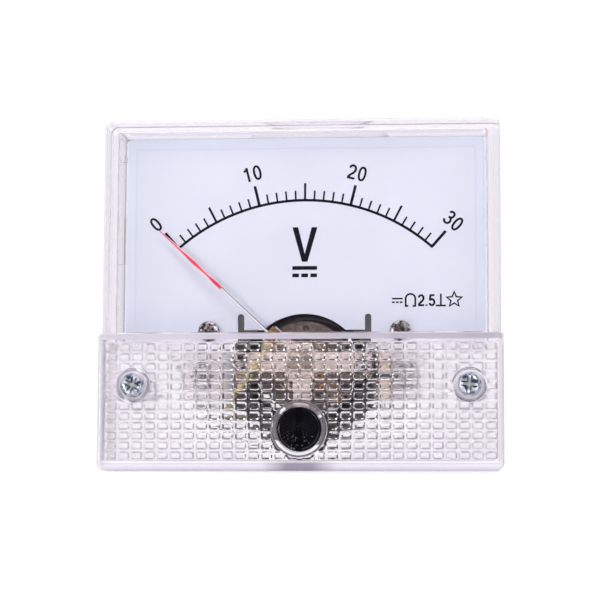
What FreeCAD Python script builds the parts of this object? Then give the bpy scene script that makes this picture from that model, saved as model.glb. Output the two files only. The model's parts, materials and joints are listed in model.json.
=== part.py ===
import FreeCAD, Part
import math
import os

os.makedirs("parts", exist_ok=True)

# Analog panel meter, square clear-case type, millimetres.
# Frame: origin on the rear barrel's axis at the plane where the flange meets
# the panel; +X right as seen from the front, +Y back into the panel, +Z up.
# The face looks along -Y.

V = FreeCAD.Vector
AX = V(0, 1, 0)

# ---------------------------------------------------------------- dimensions
FACE_W = 64.0          # lower, proud section of the cover
WIN_W = 63.2           # window section of the cover
FACE_H = 56.0
Z_TOP = FACE_H / 2
Z_BOT = -FACE_H / 2
STEP_Z = -6.2          # where the window section meets the lower section
Y_LOW = -14.0          # front of the lower section
Y_WIN = -12.8          # front of the window section
LOW_T = 2.0            # thickness of the lower front panel
WIN_T = 1.8            # thickness of the window
Y_SEAM = -2.5          # cover rear edge on the base flange
WIN_WALL = 2.0         # side wall, window section
WIN_WALL_TOP = 1.5
LOW_WALL = 1.0         # side wall, lower section
LOW_WALL_BOT = 1.6
CORNER_R = 1.2
CORNER_R_LOW = 1.4
EDGE_R = 0.5

GRID_PITCH_X = 62.0 / 30
GRID_PITCH_Z = 18.6 / 12
GRID_DEPTH = 0.38      # depth of the V grooves on the panel's inner face
GRID_GROOVE = 0.76     # width of a V groove at the face
GRID_Z1 = -7.7
GRID_Z0 = GRID_Z1 - 12 * GRID_PITCH_Z

COVER_SCREW_X = 26.6
COVER_SCREW_Z = -14.45
CS_HEAD_R = 1.9
CS_HEAD_H = 1.25
CS_SHANK_R = 1.0
CS_RECESS_R = 2.5
CS_RECESS_D = 1.5
SLEEVE_R = 2.75
Y_SLEEVE = -8.0        # cover sleeve meets base post

PZ = -10.9             # pivot height
AZ = -21.5             # zero adjuster height
ADJ_RING_R = 4.45      # raised collar on the cover
ADJ_HOLE_R = 3.6
ADJ_R = 3.5
ADJ_SHAFT_R = 1.6
ADJ_ECC = 1.0
ADJ_PIN_R = 0.4

BARREL_R = 25.0
BARREL_IN = 23.2
BARREL_L = 24.0
BACK_T = 2.0
POST_X = 16.5
POST_Z = -12.5
POST_R = 2.75
STUD_X = 26.6          # on the cover screws' axes, behind them
STUD_Z = -14.45
STUD_R = 1.5
STUD_L = 12.0
TERM_X = 10.0
STUD_SHOULDER_R = 2.0  # moulded-in shoulder, flush with the flange's back
TERM_R = 2.0
TERM_GRIP_R = 1.8
TERM_END = 39.0

DIAL_Y = -5.0          # printed face
DIAL_T = 0.5
DIAL_W = 58.0
DIAL_TOP = 26.2
DIAL_EAR_Z = -9.0
NOTCH_Z = -5.05        # lower edge of the dial between its relief slots
NOTCH_X = 10.25        # slot centre line
SLOT_W = 1.05
SLOT_TOP = -2.45
ARCH_R = 9.7
ARCH_Z = -12.15
DIAL_SCREW_X = 15.45
DIAL_SCREW_Z = -5.35

CORE_R = 7.45
YOKE_IN = 8.6
YOKE_R = 11.0
CLAMP_X = 9.85         # screws that clamp bridge, core holder and yoke
YOKE_Y0 = -3.5
YOKE_Y1 = 5.5
FRAME_Y0 = -4.5
FRAME_Y1 = -2.5

COIL_IN = 7.62
FORMER_T = 0.16
COIL_T = 0.37
FORMER_W = 3.2
COIL_W = 2.6
FORMER_Y0 = -5.15
FORMER_Y1 = 7.15
REST_DEG = 47.0        # pointer at zero, left of the vertical
POINTER_L = 32.0
POINTER_Y = -6.9       # middle of the pointer blade


# ------------------------------------------------------------------- helpers
def box(x0, x1, y0, y1, z0, z1):
    return Part.makeBox(x1 - x0, y1 - y0, z1 - z0, V(x0, y0, z0))


def cyl(r, y0, y1, x=0.0, z=0.0):
    return Part.makeCylinder(r, y1 - y0, V(x, y0, z), AX)


def cone(r0, r1, y0, y1, x=0.0, z=0.0):
    return Part.makeCone(r0, r1, y1 - y0, V(x, y0, z), AX)


def tube(r0, r1, y0, y1, x=0.0, z=0.0):
    return cyl(r1, y0, y1, x, z).cut(cyl(r0, y0 - 1, y1 + 1, x, z))


def plate(points, y0, y1):
    pts = [V(x, y0, z) for x, z in points]
    return Part.Face(Part.makePolygon(pts + [pts[0]])).extrude(V(0, y1 - y0, 0))


def turn(shape, deg, x=0.0, z=0.0):
    s = shape.copy()
    s.rotate(V(x, 0, z), AX, deg)
    return s


def along_y(e):
    a, b = e.Vertexes[0].Point, e.Vertexes[-1].Point
    return abs(a.x - b.x) < 1e-6 and abs(a.z - b.z) < 1e-6 and abs(a.y - b.y) > 1e-6


def round_corners(shape, r, pick=lambda p: True):
    edges = [e for e in shape.Edges if along_y(e) and pick(e.Vertexes[0].Point)]
    return shape.makeFillet(r, edges)


def round_face(shape, y, r):
    edges = [e for e in shape.Edges if all(abs(v.Point.y - y) < 1e-6 for v in e.Vertexes)]
    return shape.makeFillet(r, edges)


def hexnut(af, y0, y1, bore, x, z, deg=0.0):
    r = af / math.sqrt(3)
    pts = [(x + r * math.cos(math.radians(60 * i + deg)), z + r * math.sin(math.radians(60 * i + deg))) for i in range(6)]
    body = plate(pts, y0, y1)
    ch = (r - af / 2) * 0.9
    lathe = cone(af / 2, af / 2 + ch * 1.6, y0, y0 + ch * 0.9, x, z).fuse(
        cyl(r + 0.5, y0 + ch * 0.9, y1 - ch * 0.9, x, z)).fuse(
        cone(af / 2 + ch * 1.6, af / 2, y1 - ch * 0.9, y1, x, z))
    return body.common(lathe).cut(cyl(bore, y0 - 1, y1 + 1, x, z)).removeSplitter()


def phillips(size, depth, y, x, z, deg):
    # cross recess sunk from the plane y towards +Y, its wings tapering inwards
    w = size * 0.15
    def wing(d):
        half = size / 2
        a = [V(-half, y - 0.2, -w), V(half, y - 0.2, -w), V(half, y - 0.2, w), V(-half, y - 0.2, w)]
        k = 0.42
        b = [V(-half * k, y + depth, -w * 0.6), V(half * k, y + depth, -w * 0.6), V(half * k, y + depth, w * 0.6), V(-half * k, y + depth, w * 0.6)]
        s = Part.makeLoft([Part.makePolygon(a + [a[0]]), Part.makePolygon(b + [b[0]])], True, True)
        s.rotate(V(0, 0, 0), AX, d)
        return s
    s = wing(deg).fuse(wing(deg + 90))
    s.translate(V(x, 0, z))
    return s


def pan_head(r, h, y_under, x, z):
    # pan head standing towards -Y from its seat
    d = cyl(r, y_under - h, y_under, x, z)
    e = [e for e in d.Edges if len(e.Vertexes) == 1 and abs(e.Vertexes[0].Point.y - (y_under - h)) < 1e-6]
    return d.makeFillet(min(h * 0.62, r * 0.5), e)


def route(points, bend, r):
    # straight runs joined by tangent arcs, swept with a round section
    pts = [V(*p) for p in points]
    edges, start = [], pts[0]
    for i in range(1, len(pts) - 1):
        p, a, b = pts[i], pts[i - 1], pts[i + 1]
        u = (a - p).normalize()
        w = (b - p).normalize()
        half = u.getAngle(w) / 2
        cut = min(bend / math.tan(half), 0.45 * min((a - p).Length, (b - p).Length))
        rad = cut * math.tan(half)
        t0, t1 = p + u * cut, p + w * cut
        bis = (u + w).normalize()
        c = p + bis * (rad / math.sin(half))
        m = c - bis * rad
        edges.append(Part.LineSegment(start, t0).toShape())
        edges.append(Part.Arc(t0, m, t1).toShape())
        start = t1
    edges.append(Part.LineSegment(start, pts[-1]).toShape())
    path = Part.Wire(edges)
    d = (pts[1] - pts[0]).normalize()
    prof = Part.Wire([Part.Circle(pts[0], d, r).toShape()])
    s = path.makePipeShell([prof], True, False)
    length = sum(e.Length for e in edges)
    print("route r %.2f length %.1f volume ratio %.4f" % (r, length, s.Volume / (math.pi * r * r * length)))
    return s


PARTS = {}


def keep(name, *solids):
    s = solids[0] if len(solids) == 1 else Part.makeCompound(list(solids))
    for one in (s.Solids or [s]):
        assert one.isValid(), name
    PARTS[name] = s


def pair(f):
    return f(-1), f(1)


# --------------------------------------------------------------- front cover
def make_cover():
    up = box(-WIN_W / 2, WIN_W / 2, Y_WIN, Y_SEAM, STEP_Z - 3, Z_TOP)
    up = round_corners(up, CORNER_R, lambda p: p.z > 0)
    up = round_face(up, Y_WIN, EDGE_R)
    low = box(-FACE_W / 2, FACE_W / 2, Y_LOW, Y_SEAM, Z_BOT, STEP_Z)
    low = round_corners(low, CORNER_R_LOW, lambda p: p.z < -20)
    low = round_corners(low, 0.7, lambda p: p.z > -20)
    low = round_face(low, Y_LOW, EDGE_R)
    body = up.fuse(low)
    # raised collar round the zero adjuster
    collar = cyl(ADJ_RING_R, Y_LOW - 0.5, Y_LOW + 0.3, 0, AZ)
    e = [e for e in collar.Edges if len(e.Vertexes) == 1 and abs(e.Vertexes[0].Point.y - (Y_LOW - 0.5)) < 1e-6]
    body = body.fuse(collar.makeFillet(0.25, e))

    cav_up = box(-WIN_W / 2 + WIN_WALL, WIN_W / 2 - WIN_WALL, Y_WIN + WIN_T, Y_SEAM + 1, STEP_Z - 1.8, Z_TOP - WIN_WALL_TOP)
    cav_up = round_corners(cav_up, 0.6, lambda p: p.z > 0)
    cav_up = round_face(cav_up, Y_WIN + WIN_T, 0.4)
    cav_low = box(-FACE_W / 2 + LOW_WALL, FACE_W / 2 - LOW_WALL, Y_LOW + LOW_T, Y_SEAM + 1, Z_BOT + LOW_WALL_BOT, STEP_Z - 1.4)
    cav_low = round_corners(cav_low, 0.9)
    body = body.cut([cav_up, cav_low])

    # prismatic lattice on the inner face of the lower panel
    y0 = Y_LOW + LOW_T
    half = FACE_W / 2 - LOW_WALL
    zone = box(-half, half, y0 - 1.0, y0 + 0.5, GRID_Z0, GRID_Z1)
    keepouts = [cyl(SLEEVE_R + 0.15, y0 - 2, y0 + 1, s * COVER_SCREW_X, COVER_SCREW_Z) for s in (-1, 1)]
    keepouts.append(cyl(ADJ_RING_R + 0.5, y0 - 2, y0 + 1, 0, AZ))  # reaches past the lattice's lower edge
    g = GRID_GROOVE / 2
    tools = []
    for i in range(0, 31):
        x = -half + i * GRID_PITCH_X
        tri = [V(x - g * 1.25, GRID_Z0 * 0 + y0 + GRID_DEPTH * 0.25, GRID_Z0), V(x + g * 1.25, y0 + GRID_DEPTH * 0.25, GRID_Z0), V(x, y0 - GRID_DEPTH, GRID_Z0)]
        tools.append(Part.Face(Part.makePolygon(tri + [tri[0]])).extrude(V(0, 0, GRID_Z1 - GRID_Z0)))
    for j in range(0, 13):
        z = GRID_Z0 + j * GRID_PITCH_Z
        tri = [V(-half, y0 + GRID_DEPTH * 0.25, z - g * 1.25), V(-half, y0 + GRID_DEPTH * 0.25, z + g * 1.25), V(-half, y0 - GRID_DEPTH, z)]
        tools.append(Part.Face(Part.makePolygon(tri + [tri[0]])).extrude(V(2 * half, 0, 0)))
    grooves = tools[0].multiFuse(tools[1:]).common(zone).cut(keepouts)
    body = body.cut(grooves)

    for s in (-1, 1):
        x = s * COVER_SCREW_X
        body = body.fuse(cyl(SLEEVE_R, y0 - 0.5, Y_SLEEVE, x, COVER_SCREW_Z))
        body = body.cut([cyl(CS_RECESS_R, Y_LOW - 1, Y_LOW + CS_RECESS_D, x, COVER_SCREW_Z), cyl(CS_SHANK_R + 0.25, Y_LOW, Y_SLEEVE + 1, x, COVER_SCREW_Z)])
        # small nib in front of the dial's edge, moulded on the side wall
        xi = WIN_W / 2 - WIN_WALL
        a, b = sorted((s * (xi - 0.55), s * (xi + 0.3)))
        body = body.fuse(box(a, b, DIAL_Y - 1.4, DIAL_Y - 0.1, 22.4, 23.3))
    # seat and bore of the adjuster
    body = body.cut([cyl(ADJ_HOLE_R, Y_LOW - 2, Y_LOW + 1.05, 0, AZ), cyl(ADJ_SHAFT_R + 0.05, Y_LOW, y0 + 2, 0, AZ)])
    return body.removeSplitter()


keep("front_cover", make_cover())

# ------------------------------------------------------------- base and barrel
flange = box(-WIN_W / 2 + 0.1, WIN_W / 2 - 0.1, Y_SEAM, 0, Z_BOT + 0.2, Z_TOP - 0.2)
flange = round_corners(flange, CORNER_R)
barrel = cyl(BARREL_R, -1.0, BARREL_L)
edge = [e for e in barrel.Edges if len(e.Vertexes) == 1 and abs(e.Vertexes[0].Point.y - BARREL_L) < 1e-6]
barrel = barrel.makeFillet(1.2, edge)
base = flange.fuse(barrel).cut(cyl(BARREL_IN, Y_SEAM - 1, BARREL_L - BACK_T))
inner = cyl(BARREL_IN + 0.6, Y_SEAM, BARREL_L - BACK_T + 0.5)
for s in (-1, 1):
    base = base.fuse(cyl(POST_R, Y_SEAM, BARREL_L - BACK_T + 0.5, s * POST_X, POST_Z).common(inner))
    base = base.cut(cyl(1.0, Y_SEAM - 1, 7.0, s * POST_X, POST_Z))
    # posts that take the cover screws
    base = base.fuse(cyl(SLEEVE_R, Y_SLEEVE, Y_SEAM + 0.5, s * COVER_SCREW_X, COVER_SCREW_Z))
    base = base.cut(cyl(CS_SHANK_R, Y_SLEEVE - 1, -2.9, s * COVER_SCREW_X, COVER_SCREW_Z))
    # rests behind the upper part of the dial
    base = base.fuse(cyl(1.6, DIAL_Y + DIAL_T, Y_SEAM + 0.5, s * 21.0, 18.5))
    # ribs that locate the cover's side walls
    xi = WIN_W / 2 - WIN_WALL - 0.15
    a, b = sorted((s * (xi - 0.8), s * xi))
    base = base.fuse(box(a, b, Y_SEAM - 0.9, Y_SEAM + 0.5, 6.0, 14.0))
    # seats of the moulded-in mounting studs
    base = base.cut([cyl(2.6, -2.1, -0.7, s * STUD_X, STUD_Z), cyl(STUD_SHOULDER_R, -0.8, 1.0, s * STUD_X, STUD_Z)])
    # terminal holes, with a raised pad behind each
    base = base.fuse(cyl(5.4, BARREL_L - 0.5, BARREL_L + 0.5, s * TERM_X, 0))
    base = base.cut(cyl(TERM_R, BARREL_L - BACK_T - 1, BARREL_L + 2, s * TERM_X, 0))
# polarity marks raised on the back
base = base.fuse([box(TERM_X - 1.6, TERM_X + 1.6, BARREL_L - 0.2, BARREL_L + 0.35, 9.7, 10.3),
                  box(TERM_X - 0.3, TERM_X + 0.3, BARREL_L - 0.2, BARREL_L + 0.35, 8.4, 11.6),
                  box(-TERM_X - 1.6, -TERM_X + 1.6, BARREL_L - 0.2, BARREL_L + 0.35, 9.7, 10.3)])
keep("base_housing", base.removeSplitter())

keep("mounting_studs", *pair(lambda s: cyl(2.6, -2.1, -0.7, s * STUD_X, STUD_Z).fuse(
    cyl(STUD_SHOULDER_R, -0.7, 0.0, s * STUD_X, STUD_Z)).fuse(cyl(STUD_R, -0.5, STUD_L - 0.4, s * STUD_X, STUD_Z)).fuse(
    cone(STUD_R, STUD_R - 0.35, STUD_L - 0.4, STUD_L, s * STUD_X, STUD_Z)).removeSplitter()))


def cover_screw(s):
    x, z = s * COVER_SCREW_X, COVER_SCREW_Z
    y = Y_LOW + CS_RECESS_D
    b = pan_head(CS_HEAD_R, CS_HEAD_H, y, x, z).fuse(cyl(CS_SHANK_R, y, -4.2, x, z)).fuse(cone(CS_SHANK_R, 0.35, -4.2, -3.2, x, z))
    return b.cut(phillips(2.3, 0.95, y - CS_HEAD_H, x, z, 22 if s < 0 else 5)).removeSplitter()


keep("cover_screws", *pair(cover_screw))

# -------------------------------------------------------------- zero adjuster
adj = cyl(ADJ_R, Y_LOW - 0.3, Y_LOW + 1.0, 0, AZ)
edge = [e for e in adj.Edges if len(e.Vertexes) == 1 and abs(e.Vertexes[0].Point.y - (Y_LOW - 0.3)) < 1e-6]
adj = adj.makeFillet(0.45, edge)
adj = adj.fuse(cyl(ADJ_SHAFT_R, Y_LOW + 1.0, -10.4, 0, AZ)).fuse(cyl(ADJ_PIN_R, -10.4, -9.0, 0, AZ + ADJ_ECC))
adj = adj.cut(box(-0.48, 0.48, Y_LOW - 1, Y_LOW + 0.55, AZ - 5, AZ + 5))
keep("zero_adjuster", adj.removeSplitter())
keep("adjuster_retainer", tube(ADJ_SHAFT_R, 3.2, -11.95, -11.4, 0, AZ))

# ----------------------------------------------------------------------- dial
dial = box(-DIAL_W / 2, DIAL_W / 2, DIAL_Y, DIAL_Y + DIAL_T, DIAL_EAR_Z, DIAL_TOP)
dial = round_corners(dial, 0.8)
cuts = [box(-NOTCH_X - SLOT_W / 2, NOTCH_X + SLOT_W / 2, DIAL_Y - 1, DIAL_Y + 2, DIAL_EAR_Z - 1, NOTCH_Z),
        cyl(ARCH_R, DIAL_Y - 1, DIAL_Y + 2, 0, ARCH_Z)]
for s in (-1, 1):
    a, b = s * NOTCH_X - SLOT_W / 2, s * NOTCH_X + SLOT_W / 2
    cuts += [box(a, b, DIAL_Y - 1, DIAL_Y + 2, NOTCH_Z - 1, SLOT_TOP - SLOT_W / 2),
             cyl(SLOT_W / 2, DIAL_Y - 1, DIAL_Y + 2, s * NOTCH_X, SLOT_TOP - SLOT_W / 2),
             cyl(1.15, DIAL_Y - 1, DIAL_Y + 2, s * DIAL_SCREW_X, DIAL_SCREW_Z)]
keep("dial_plate", dial.cut(cuts))


def dial_screw(s):
    x, z = s * DIAL_SCREW_X, DIAL_SCREW_Z
    b = pan_head(1.75, 1.1, DIAL_Y, x, z).fuse(cyl(0.95, DIAL_Y, -1.6, x, z))
    return b.cut(phillips(2.1, 0.8, DIAL_Y - 1.1, x, z, 12 * s + 20)).removeSplitter()


keep("dial_screws", *pair(dial_screw))

# ------------------------------------------------------------- movement frame
frame = box(-19.2, 19.2, FRAME_Y0, FRAME_Y1, -16.3, 2.8)
frame = round_corners(frame, 1.5)
frame = frame.fuse(cyl(12.6, FRAME_Y0, FRAME_Y1, 0, PZ))
frame = frame.cut([cyl(YOKE_R, YOKE_Y0, 1, 0, PZ), cyl(9.7, FRAME_Y0 - 1, YOKE_Y0 + 0.5, 0, PZ),
                   box(-11.5, 11.5, FRAME_Y0 - 1, YOKE_Y0, PZ - 2.25, PZ + 2.25)])
for s in (-1, 1):
    frame = frame.cut([cyl(0.95, FRAME_Y0 - 1, 0, s * DIAL_SCREW_X, DIAL_SCREW_Z),
                       cyl(1.0, FRAME_Y0 - 1, 0, s * POST_X, POST_Z)])
keep("movement_frame", frame.removeSplitter())

keep("movement_screws", *pair(lambda s: pan_head(1.9, 1.2, FRAME_Y0, s * POST_X, POST_Z).fuse(
    cyl(1.0, FRAME_Y0, 4.5, s * POST_X, POST_Z)).cut(
    phillips(2.2, 0.9, FRAME_Y0 - 1.2, s * POST_X, POST_Z, 30 + 17 * s)).removeSplitter()))

# -------------------------------------------------------------- magnet system
keep("yoke_ring", tube(YOKE_IN, YOKE_R, YOKE_Y0, YOKE_Y1, 0, PZ).cut(
    [cyl(0.7, YOKE_Y0 - 1, -0.5, s * CLAMP_X, PZ) for s in (-1, 1)] +
    [cyl(0.7, 2.5, YOKE_Y1 + 1, s * CLAMP_X, PZ) for s in (-1, 1)]))
core = cyl(CORE_R, YOKE_Y0, YOKE_Y1, 0, PZ)
rim = [e for e in core.Edges if len(e.Vertexes) == 1]
core = core.makeChamfer(0.15, rim)
core = core.cut([cyl(0.7, YOKE_Y0 - 1, 0.5, s * 3.6, PZ) for s in (-1, 1)])
core = core.cut(Part.makeSphere(0.55, V(0.15, YOKE_Y0 - 0.22, PZ + 6.2)))
keep("core_magnet", core)
holder = box(-11.1, 11.1, -4.3, YOKE_Y0, PZ - 1.9, PZ + 1.9)
holder = round_corners(holder, 0.8)
holder = holder.cut([cyl(0.7, -5, 0, s * CLAMP_X, PZ) for s in (-1, 1)] +
                    [cyl(0.7, -5, 0, s * 3.6, PZ) for s in (-1, 1)] +
                    [cone(1.4, 0.7, -4.3, -3.6, s * 3.6, PZ) for s in (-1, 1)])
keep("core_holder", holder)
keep("core_screws", *pair(lambda s: cone(1.4, 0.7, -4.3, -3.6, s * 3.6, PZ).fuse(cyl(0.7, -3.6, 0.5, s * 3.6, PZ)).cut(
    turn(box(s * 3.6 - 2, s * 3.6 + 2, -5, -4.0, PZ - 0.16, PZ + 0.16), 25 * s, s * 3.6, PZ)).removeSplitter()))

# -------------------------------------------------------------------- bridges
BR_Y0, BR_Y1 = -9.2, -8.2
br = box(-11.1, 11.1, BR_Y0, BR_Y1, PZ - 1.7, PZ + 1.7)
br = round_corners(br, 0.7)
br = br.fuse([cyl(2.7, BR_Y0, BR_Y1, 0, PZ), cyl(1.9, BR_Y0 - 0.75, BR_Y0 + 0.2, 0, PZ)])
for s in (-1, 1):
    a, b = sorted((s * 8.75, s * 11.1))
    br = br.fuse(round_corners(box(a, b, BR_Y1 - 0.3, -4.3, PZ - 1.5, PZ + 1.5), 0.4))
br = br.cut([cyl(0.7, -11, 0, s * CLAMP_X, PZ) for s in (-1, 1)] + [cyl(1.0, -11, 0, 0, PZ)])
keep("front_bridge", br.removeSplitter())

RB_Y0, RB_Y1 = 9.3, 10.3
rb = box(-11.1, 11.1, RB_Y0, RB_Y1, PZ - 1.7, PZ + 1.7)
rb = round_corners(rb, 0.7).fuse(cyl(2.7, RB_Y0, RB_Y1, 0, PZ))
for s in (-1, 1):
    a, b = sorted((s * 8.75, s * 11.1))
    rb = rb.fuse(round_corners(box(a, b, YOKE_Y1, RB_Y0 + 0.3, PZ - 1.5, PZ + 1.5), 0.4))
rb = rb.cut([cyl(0.7, 0, 12, s * CLAMP_X, PZ) for s in (-1, 1)] + [cyl(1.0, 0, 12, 0, PZ)])
keep("rear_bridge", rb.removeSplitter())


def cheese(x, y_under, y_tip, sign, deg):
    # cheese-head screw; sign -1: the head stands towards -Y
    h = 0.95
    a, b = sorted((y_under, y_under + sign * h))
    s = cyl(1.25, a, b, x, PZ)
    face = y_under + sign * h
    e = [e for e in s.Edges if len(e.Vertexes) == 1 and abs(e.Vertexes[0].Point.y - face) < 1e-6]
    s = s.makeFillet(0.2, e)
    a, b = sorted((y_under, y_tip))
    s = s.fuse(cyl(0.7, a, b, x, PZ))
    c, d = sorted((face - sign * 0.45, face + sign))
    return s.cut(turn(box(x - 2, x + 2, c, d, PZ - 0.17, PZ + 0.17), deg, x, PZ)).removeSplitter()


keep("front_bridge_screws", cheese(-CLAMP_X, BR_Y0, -0.5, -1, 35), cheese(CLAMP_X, BR_Y0, -0.5, -1, -20))
keep("rear_bridge_screws", cheese(-CLAMP_X, RB_Y1, 2.5, 1, 60), cheese(CLAMP_X, RB_Y1, 2.5, 1, 10))

# jewel screws: slotted outside, a shallow cup for the pivot at the inner end
keep("front_jewel_screw", cyl(1.0, -11.1, -7.95, 0, PZ).cut([
    cyl(0.42, -8.25, -7.9, 0, PZ), turn(box(-2, 2, -12, -10.75, PZ - 0.15, PZ + 0.15), 15, 0, PZ)]))
keep("rear_jewel_screw", cyl(1.0, 9.05, 12.3, 0, PZ).cut([
    cyl(0.42, 9.0, 9.35, 0, PZ), turn(box(-2, 2, 11.95, 13, PZ - 0.15, PZ + 0.15), 70, 0, PZ)]))
keep("front_lock_nut", hexnut(4.2, -10.7, -9.95, 1.0, 0, PZ, 12))
keep("rear_lock_nut", hexnut(4.2, 10.75, 11.55, 1.0, 0, PZ, 40))

# zero lever: ring on the bridge boss, forked arm down to the eccentric pin,
# short arm up and left whose tab holds the outer end of the front hairspring
LV0, LV1 = -9.75, -9.35
SPRING_R = 4.75
TAB_DEG = -36.0
lever = cyl(3.1, LV0, LV1, 0, PZ)
lever = lever.fuse(plate([(-1.5, PZ - 1.5), (1.5, PZ - 1.5), (1.15, AZ + 3.0), (1.35, AZ - 0.7), (-1.35, AZ - 0.7), (-1.15, AZ + 3.0)], LV0, LV1))
arm = box(-0.7, 0.7, LV0, LV1, PZ + 1.5, PZ + SPRING_R + 0.75)
tab = box(-0.7, 0.7, LV0, -7.3, PZ + SPRING_R + 0.35, PZ + SPRING_R + 0.75)
lever = lever.fuse(turn(arm.fuse(tab), TAB_DEG, 0, PZ))
slot_half = ADJ_PIN_R + 0.12
lever = lever.cut([cyl(1.95, -12, -5, 0, PZ), box(-slot_half, slot_half, -12, -5, AZ - 2, AZ + 2.6), cyl(slot_half, -12, -5, 0, AZ + 2.6)])
keep("zero_lever", lever.removeSplitter())

anchor = cyl(2.7, 10.3, 10.75, 0, PZ).fuse(box(-0.7, 0.7, 10.3, 10.75, PZ - SPRING_R - 0.8, PZ))
anchor = anchor.fuse(box(-0.7, 0.7, 8.1, 10.75, PZ - SPRING_R - 0.8, PZ - SPRING_R - 0.4)).cut(cyl(1.0, 8, 12, 0, PZ))
keep("rear_spring_anchor", anchor.removeSplitter())


# flat spiral hairsprings
def spiral(r0, r1, turns, y0, y1, t, end_deg, hand):
    n = int(turns * 28)
    mid = []
    for i in range(n + 1):
        f = i / n
        a = math.radians(end_deg) - hand * (1 - f) * turns * 2 * math.pi
        r = r0 + (r1 - r0) * f
        mid.append((r * math.sin(a), PZ + r * math.cos(a)))
    def off(k):
        out = []
        for i, (x, z) in enumerate(mid):
            a = mid[max(i - 1, 0)]
            b = mid[min(i + 1, n)]
            dx, dz = b[0] - a[0], b[1] - a[1]
            m = math.hypot(dx, dz)
            out.append(V(x - dz / m * k, y0, z + dx / m * k))
        return out
    left, right = off(t / 2), off(-t / 2)
    def curve(p):
        c = Part.BSplineCurve()
        c.interpolate(p)
        return c.toShape()
    w = Part.Wire([curve(left), Part.LineSegment(left[-1], right[-1]).toShape(), curve(right[::-1]), Part.LineSegment(right[0], left[0]).toShape()])
    return Part.Face(w).extrude(V(0, y1 - y0, 0))


keep("front_hairspring", spiral(0.98, SPRING_R + 0.25, 4.5, -7.8, -7.4, 0.1, TAB_DEG, 1))
keep("rear_hairspring", spiral(0.98, SPRING_R + 0.3, 4.5, 8.25, 8.65, 0.1, 180, -1))

# -------------------------------------------------------------- moving system
def swing(shape):
    # built with the pointer upright, then turned back to zero on the scale
    return turn(shape, -REST_DEG, 0, PZ)


def rect_ring(half_in, half_out, y0i, y1i, y0o, y1o, w):
    # closed rectangular band about the Y axis, its long sides at +-Z
    out = box(-w / 2, w / 2, y0o, y1o, PZ - half_out, PZ + half_out)
    return out.cut(box(-w, w, y0i, y1i, PZ - half_in, PZ + half_in))


def round_bars(s, r):
    es = [e for e in s.Edges if abs(e.Vertexes[0].Point.z - e.Vertexes[-1].Point.z) < 1e-6 and abs(e.Vertexes[0].Point.y - e.Vertexes[-1].Point.y) < 1e-6
          and (abs(e.Vertexes[0].Point.x - e.Vertexes[-1].Point.x) > 0.1)]
    ymin, ymax = s.BoundBox.YMin, s.BoundBox.YMax
    out = [e for e in es if (abs(e.Vertexes[0].Point.y - ymin) < 1e-6 or abs(e.Vertexes[0].Point.y - ymax) < 1e-6)]
    return s.makeFillet(r, out)


fo = COIL_IN + FORMER_T
former = rect_ring(COIL_IN, fo, FORMER_Y0 + FORMER_T, FORMER_Y1 - FORMER_T, FORMER_Y0, FORMER_Y1, FORMER_W)
STAFF_R = 0.35
former = former.cut([cyl(STAFF_R, FORMER_Y0 - 1, FORMER_Y0 + 1, 0, PZ), cyl(STAFF_R, FORMER_Y1 - 1, FORMER_Y1 + 1, 0, PZ)])
keep("coil_former", swing(former))
co = fo + COIL_T
coil = round_bars(rect_ring(fo, co, FORMER_Y0, FORMER_Y1, FORMER_Y0 - COIL_T, FORMER_Y1 + COIL_T, COIL_W), 0.35)
coil = coil.cut([cyl(STAFF_R + 0.55, FORMER_Y0 - 2, FORMER_Y0 + 1, 0, PZ), cyl(STAFF_R + 0.55, FORMER_Y1 - 1, FORMER_Y1 + 2, 0, PZ)])
keep("coil_winding", swing(coil))

# pivot staffs with a seat flange on the former
keep("front_staff", cyl(STAFF_R, -8.0, FORMER_Y0 + FORMER_T, 0, PZ).fuse(cone(0.12, STAFF_R, -8.2, -8.0, 0, PZ)).fuse(
    cyl(STAFF_R + 0.5, FORMER_Y0 - 0.45, FORMER_Y0, 0, PZ)).removeSplitter())
keep("rear_staff", cyl(STAFF_R, FORMER_Y1 - FORMER_T, 9.1, 0, PZ).fuse(cone(STAFF_R, 0.12, 9.1, 9.3, 0, PZ)).fuse(
    cyl(STAFF_R + 0.5, FORMER_Y1, FORMER_Y1 + 0.45, 0, PZ)).removeSplitter())
keep("rear_collet", tube(STAFF_R, 0.93, 8.15, 8.75, 0, PZ))

# hub with spring collet and the balance cross
hub = cyl(1.35, -7.2, -6.35, 0, PZ).fuse(cyl(0.93, -7.83, -7.1, 0, PZ))
TAIL, SIDE = 7.5, 4.4
for deg, ln in ((180, TAIL), (90, SIDE), (-90, SIDE)):
    hub = hub.fuse(turn(box(-0.28, 0.28, -6.95, -6.6, PZ + 1.0, PZ + ln), deg, 0, PZ))
hub = hub.cut(cyl(STAFF_R, -9, -5, 0, PZ))
hub_swung = swing(hub.removeSplitter())
keep("balance_cross", hub_swung)

yb, yt = POINTER_Y - 0.14, POINTER_Y + 0.14
blade = plate([(-0.30, PZ + 0.6), (-0.24, PZ + 17.5), (-0.36, PZ + 18.2), (-0.40, PZ + 24.0), (-0.30, PZ + 28.2), (-0.12, PZ + POINTER_L),
               (0.12, PZ + POINTER_L), (0.30, PZ + 28.2), (0.40, PZ + 24.0), (0.36, PZ + 18.2), (0.24, PZ + 17.5), (0.30, PZ + 0.6)], yb, yt)
keep("pointer", swing(blade).cut([hub_swung, cyl(1.35, -7.2, -6.35, 0, PZ)]))


def weight(deg, r0, r1, rad):
    # round nut on a balance arm, its axis along the arm
    a = Part.makeCylinder(rad, r1 - r0, V(0, -6.775, PZ + r0), V(0, 0, 1))
    a = a.cut(box(-0.28, 0.28, -6.95, -6.6, PZ + r0 - 1, PZ + r1 + 1))
    return swing(turn(a, deg, 0, PZ))


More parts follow.
